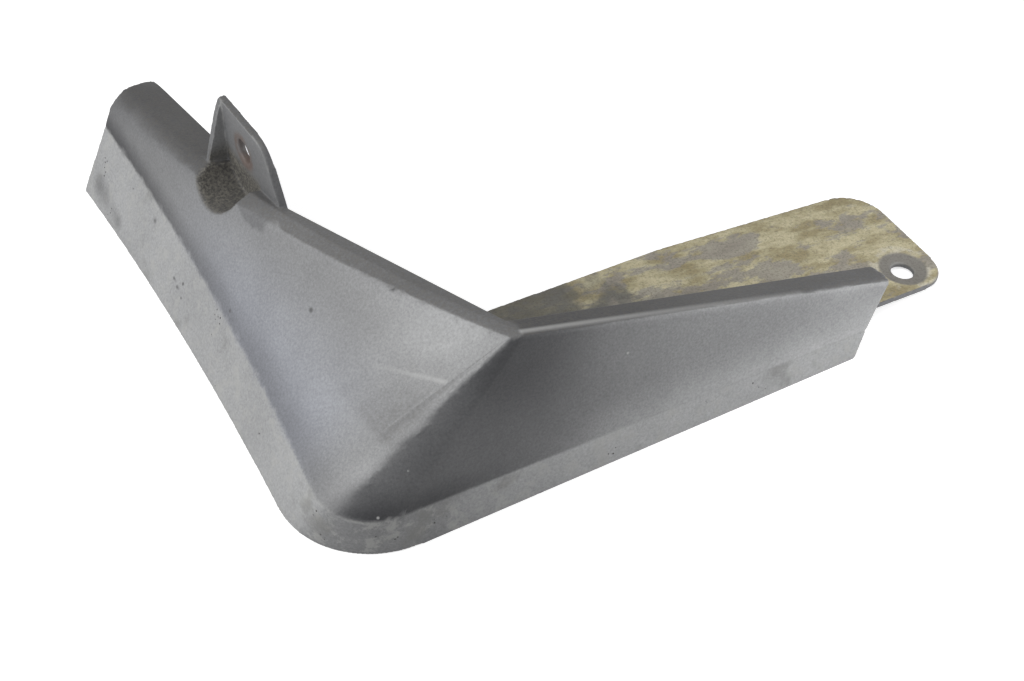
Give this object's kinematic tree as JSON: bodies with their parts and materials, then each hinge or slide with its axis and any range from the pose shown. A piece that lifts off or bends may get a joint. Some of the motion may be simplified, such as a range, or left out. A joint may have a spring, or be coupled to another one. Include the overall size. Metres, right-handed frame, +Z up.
{
  "type": "mudguard",
  "caption": "Moulded corner mudguard for a car: a hollow sloping shell with an upright screw lug and a flat sill plate.",
  "frame": {"origin": "bottom centre of the box round the part, on the plane of its rim", "axes": "+X along the outer skirt towards the free end of the sill plate, +Y along the wheel-side arm away from the corner, +Z up from the rim, in the pose of the picture"},
  "size_m": [0.3294, 0.2894, 0.0945],
  "materials": {
    "weathered_plastic": "satin grey moulded plastic, abraded along the band, with dust and dried mud on the plate"
  },
  "bodies": {
    "root": {"mudguard": "weathered_plastic"}
  },
  "joints": []
}
